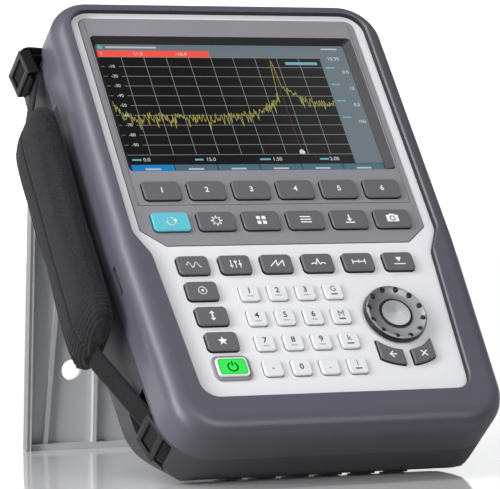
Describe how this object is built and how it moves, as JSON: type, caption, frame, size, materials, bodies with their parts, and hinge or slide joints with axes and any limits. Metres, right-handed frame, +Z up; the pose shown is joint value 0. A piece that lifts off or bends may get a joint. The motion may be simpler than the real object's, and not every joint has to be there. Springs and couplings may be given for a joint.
{
  "type": "handheld network analyzer",
  "caption": "Handheld network analyzer leaning on its rear stand: recessed display, soft keys, keypad, tuning knob, side hand strap and radio ports on the top edge.",
  "frame": {"origin": "on the floor, under the middle of the standing object's box", "axes": "+Z up, +X to the object's right as its user sees it, -Y towards the user; the case leans back and rests on its rear feet and the open stand"},
  "size_m": [0.2214, 0.2388, 0.2546],
  "materials": {
    "bumper": "fine matt texture",
    "shell": "fine matt texture",
    "fascia": "satin",
    "panel": "satin",
    "screen": "gloss",
    "mat": "matt",
    "board": "satin",
    "steel": "bright",
    "webbing": "woven",
    "padding": "woven",
    "buckle": "satin",
    "battery": "satin",
    "port": "bright plated",
    "knob": "satin",
    "knob_button": "satin",
    "stand": "satin",
    "key_dark": "matt",
    "key_white": "matt",
    "key_teal": "matt",
    "key_green": "lit from behind"
  },
  "bodies": {
    "housing": {"front_bumper": "bumper", "rear_shell": "shell", "keypad_fascia": "fascia", "display_panel": "panel", "lcd_module": "screen", "key_mat": "mat", "main_board": "board", "rotary_encoder": "steel", "strap_webbing": "webbing", "padded_handle": "padding", "strap_buckles": "buckle", "strap_bars": "steel", "battery_pack": "battery", "battery_door": "shell", "housing_screws": "steel", "stand_pins": "steel", "rf_ports": "port"},
    "knob": {"tuning_knob": "knob"},
    "button": {"knob_button": "knob_button"},
    "stand": {"kickstand": "stand"},
    "soft_key_1": {"soft_key_1": "key_dark"},
    "soft_key_2": {"soft_key_2": "key_dark"},
    "soft_key_3": {"soft_key_3": "key_dark"},
    "soft_key_4": {"soft_key_4": "key_dark"},
    "soft_key_5": {"soft_key_5": "key_dark"},
    "soft_key_6": {"soft_key_6": "key_dark"},
    "preset_key": {"preset_key": "key_teal"},
    "setup_key": {"setup_key": "key_dark"},
    "mode_key": {"mode_key": "key_dark"},
    "lines_key": {"lines_key": "key_dark"},
    "save_key": {"save_key": "key_dark"},
    "camera_key": {"camera_key": "key_dark"},
    "frequency_key": {"frequency_key": "key_dark"},
    "config_key": {"config_key": "key_dark"},
    "sweep_key": {"sweep_key": "key_dark"},
    "trace_key": {"trace_key": "key_dark"},
    "measure_key": {"measure_key": "key_dark"},
    "marker_key": {"marker_key": "key_dark"},
    "cal_key": {"cal_key": "key_dark"},
    "scale_key": {"scale_key": "key_dark"},
    "wizard_key": {"wizard_key": "key_dark"},
    "power_key": {"power_key": "key_green"},
    "one_key": {"one_key": "key_white"},
    "two_key": {"two_key": "key_white"},
    "three_key": {"three_key": "key_white"},
    "giga_key": {"giga_key": "key_white"},
    "four_key": {"four_key": "key_white"},
    "five_key": {"five_key": "key_white"},
    "six_key": {"six_key": "key_white"},
    "mega_key": {"mega_key": "key_white"},
    "seven_key": {"seven_key": "key_white"},
    "eight_key": {"eight_key": "key_white"},
    "nine_key": {"nine_key": "key_white"},
    "kilo_key": {"kilo_key": "key_white"},
    "sign_key": {"sign_key": "key_white"},
    "zero_key": {"zero_key": "key_white"},
    "point_key": {"point_key": "key_white"},
    "unit_key": {"unit_key": "key_white"},
    "back_key": {"back_key": "key_dark"},
    "cancel_key": {"cancel_key": "key_dark"}
  },
  "joints": [
    {"name": "soft_key_1_press", "type": "slide", "parent": "housing", "child": "soft_key_1", "axis": [0, 0.7771, -0.6293], "range_m": [0, 0.001], "stiffness_N_per_m": 1500, "springref_m": -0.0003},
    {"name": "soft_key_2_press", "type": "slide", "parent": "housing", "child": "soft_key_2", "axis": [0, 0.7771, -0.6293], "range_m": [0, 0.001], "stiffness_N_per_m": 1500, "springref_m": -0.0003},
    {"name": "soft_key_3_press", "type": "slide", "parent": "housing", "child": "soft_key_3", "axis": [0, 0.7771, -0.6293], "range_m": [0, 0.001], "stiffness_N_per_m": 1500, "springref_m": -0.0003},
    {"name": "soft_key_4_press", "type": "slide", "parent": "housing", "child": "soft_key_4", "axis": [0, 0.7771, -0.6293], "range_m": [0, 0.001], "stiffness_N_per_m": 1500, "springref_m": -0.0003},
    {"name": "soft_key_5_press", "type": "slide", "parent": "housing", "child": "soft_key_5", "axis": [0, 0.7771, -0.6293], "range_m": [0, 0.001], "stiffness_N_per_m": 1500, "springref_m": -0.0003},
    {"name": "soft_key_6_press", "type": "slide", "parent": "housing", "child": "soft_key_6", "axis": [0, 0.7771, -0.6293], "range_m": [0, 0.001], "stiffness_N_per_m": 1500, "springref_m": -0.0003},
    {"name": "preset_key_press", "type": "slide", "parent": "housing", "child": "preset_key", "axis": [0, 0.7771, -0.6293], "range_m": [0, 0.001], "stiffness_N_per_m": 1500, "springref_m": -0.0003},
    {"name": "setup_key_press", "type": "slide", "parent": "housing", "child": "setup_key", "axis": [0, 0.7771, -0.6293], "range_m": [0, 0.001], "stiffness_N_per_m": 1500, "springref_m": -0.0003},
    {"name": "mode_key_press", "type": "slide", "parent": "housing", "child": "mode_key", "axis": [0, 0.7771, -0.6293], "range_m": [0, 0.001], "stiffness_N_per_m": 1500, "springref_m": -0.0003},
    {"name": "lines_key_press", "type": "slide", "parent": "housing", "child": "lines_key", "axis": [0, 0.7771, -0.6293], "range_m": [0, 0.001], "stiffness_N_per_m": 1500, "springref_m": -0.0003},
    {"name": "save_key_press", "type": "slide", "parent": "housing", "child": "save_key", "axis": [0, 0.7771, -0.6293], "range_m": [0, 0.001], "stiffness_N_per_m": 1500, "springref_m": -0.0003},
    {"name": "camera_key_press", "type": "slide", "parent": "housing", "child": "camera_key", "axis": [0, 0.7771, -0.6293], "range_m": [0, 0.001], "stiffness_N_per_m": 1500, "springref_m": -0.0003},
    {"name": "frequency_key_press", "type": "slide", "parent": "housing", "child": "frequency_key", "axis": [0, 0.7771, -0.6293], "range_m": [0, 0.001], "stiffness_N_per_m": 1500, "springref_m": -0.0003},
    {"name": "config_key_press", "type": "slide", "parent": "housing", "child": "config_key", "axis": [0, 0.7771, -0.6293], "range_m": [0, 0.001], "stiffness_N_per_m": 1500, "springref_m": -0.0003},
    {"name": "sweep_key_press", "type": "slide", "parent": "housing", "child": "sweep_key", "axis": [0, 0.7771, -0.6293], "range_m": [0, 0.001], "stiffness_N_per_m": 1500, "springref_m": -0.0003},
    {"name": "trace_key_press", "type": "slide", "parent": "housing", "child": "trace_key", "axis": [0, 0.7771, -0.6293], "range_m": [0, 0.001], "stiffness_N_per_m": 1500, "springref_m": -0.0003},
    {"name": "measure_key_press", "type": "slide", "parent": "housing", "child": "measure_key", "axis": [0, 0.7771, -0.6293], "range_m": [0, 0.001], "stiffness_N_per_m": 1500, "springref_m": -0.0003},
    {"name": "marker_key_press", "type": "slide", "parent": "housing", "child": "marker_key", "axis": [0, 0.7771, -0.6293], "range_m": [0, 0.001], "stiffness_N_per_m": 1500, "springref_m": -0.0003},
    {"name": "cal_key_press", "type": "slide", "parent": "housing", "child": "cal_key", "axis": [0, 0.7771, -0.6293], "range_m": [0, 0.001], "stiffness_N_per_m": 1500, "springref_m": -0.0003},
    {"name": "scale_key_press", "type": "slide", "parent": "housing", "child": "scale_key", "axis": [0, 0.7771, -0.6293], "range_m": [0, 0.001], "stiffness_N_per_m": 1500, "springref_m": -0.0003},
    {"name": "wizard_key_press", "type": "slide", "parent": "housing", "child": "wizard_key", "axis": [0, 0.7771, -0.6293], "range_m": [0, 0.001], "stiffness_N_per_m": 1500, "springref_m": -0.0003},
    {"name": "power_key_press", "type": "slide", "parent": "housing", "child": "power_key", "axis": [0, 0.7771, -0.6293], "range_m": [0, 0.001], "stiffness_N_per_m": 1500, "springref_m": -0.0003},
    {"name": "one_key_press", "type": "slide", "parent": "housing", "child": "one_key", "axis": [0, 0.7771, -0.6293], "range_m": [0, 0.001], "stiffness_N_per_m": 1500, "springref_m": -0.0003},
    {"name": "two_key_press", "type": "slide", "parent": "housing", "child": "two_key", "axis": [0, 0.7771, -0.6293], "range_m": [0, 0.001], "stiffness_N_per_m": 1500, "springref_m": -0.0003},
    {"name": "three_key_press", "type": "slide", "parent": "housing", "child": "three_key", "axis": [0, 0.7771, -0.6293], "range_m": [0, 0.001], "stiffness_N_per_m": 1500, "springref_m": -0.0003},
    {"name": "giga_key_press", "type": "slide", "parent": "housing", "child": "giga_key", "axis": [0, 0.7771, -0.6293], "range_m": [0, 0.001], "stiffness_N_per_m": 1500, "springref_m": -0.0003},
    {"name": "four_key_press", "type": "slide", "parent": "housing", "child": "four_key", "axis": [0, 0.7771, -0.6293], "range_m": [0, 0.001], "stiffness_N_per_m": 1500, "springref_m": -0.0003},
    {"name": "five_key_press", "type": "slide", "parent": "housing", "child": "five_key", "axis": [0, 0.7771, -0.6293], "range_m": [0, 0.001], "stiffness_N_per_m": 1500, "springref_m": -0.0003},
    {"name": "six_key_press", "type": "slide", "parent": "housing", "child": "six_key", "axis": [0, 0.7771, -0.6293], "range_m": [0, 0.001], "stiffness_N_per_m": 1500, "springref_m": -0.0003},
    {"name": "mega_key_press", "type": "slide", "parent": "housing", "child": "mega_key", "axis": [0, 0.7771, -0.6293], "range_m": [0, 0.001], "stiffness_N_per_m": 1500, "springref_m": -0.0003},
    {"name": "seven_key_press", "type": "slide", "parent": "housing", "child": "seven_key", "axis": [0, 0.7771, -0.6293], "range_m": [0, 0.001], "stiffness_N_per_m": 1500, "springref_m": -0.0003},
    {"name": "eight_key_press", "type": "slide", "parent": "housing", "child": "eight_key", "axis": [0, 0.7771, -0.6293], "range_m": [0, 0.001], "stiffness_N_per_m": 1500, "springref_m": -0.0003},
    {"name": "nine_key_press", "type": "slide", "parent": "housing", "child": "nine_key", "axis": [0, 0.7771, -0.6293], "range_m": [0, 0.001], "stiffness_N_per_m": 1500, "springref_m": -0.0003},
    {"name": "kilo_key_press", "type": "slide", "parent": "housing", "child": "kilo_key", "axis": [0, 0.7771, -0.6293], "range_m": [0, 0.001], "stiffness_N_per_m": 1500, "springref_m": -0.0003},
    {"name": "sign_key_press", "type": "slide", "parent": "housing", "child": "sign_key", "axis": [0, 0.7771, -0.6293], "range_m": [0, 0.001], "stiffness_N_per_m": 1500, "springref_m": -0.0003},
    {"name": "zero_key_press", "type": "slide", "parent": "housing", "child": "zero_key", "axis": [0, 0.7771, -0.6293], "range_m": [0, 0.001], "stiffness_N_per_m": 1500, "springref_m": -0.0003},
    {"name": "point_key_press", "type": "slide", "parent": "housing", "child": "point_key", "axis": [0, 0.7771, -0.6293], "range_m": [0, 0.001], "stiffness_N_per_m": 1500, "springref_m": -0.0003},
    {"name": "unit_key_press", "type": "slide", "parent": "housing", "child": "unit_key", "axis": [0, 0.7771, -0.6293], "range_m": [0, 0.001], "stiffness_N_per_m": 1500, "springref_m": -0.0003},
    {"name": "back_key_press", "type": "slide", "parent": "housing", "child": "back_key", "axis": [0, 0.7771, -0.6293], "range_m": [0, 0.001], "stiffness_N_per_m": 1500, "springref_m": -0.0003},
    {"name": "cancel_key_press", "type": "slide", "parent": "housing", "child": "cancel_key", "axis": [0, 0.7771, -0.6293], "range_m": [0, 0.001], "stiffness_N_per_m": 1500, "springref_m": -0.0003},
    {"name": "knob_turn", "type": "hinge", "parent": "housing", "child": "knob", "pos_m": [0.05695, -0.07451, 0.08393], "axis": [0, -0.7771, 0.6293], "continuous": true},
    {"name": "button_press", "type": "slide", "parent": "knob", "child": "button", "axis": [0, 0.7771, -0.6293], "range_m": [0, 0.0008], "stiffness_N_per_m": 1500, "springref_m": -0.0003},
    {"name": "stand_fold", "type": "hinge", "parent": "housing", "child": "stand", "pos_m": [0.00975, 0.10164, 0.19659], "axis": [1, 0, 0], "range_deg": [-42.44, 0]}
  ]
}
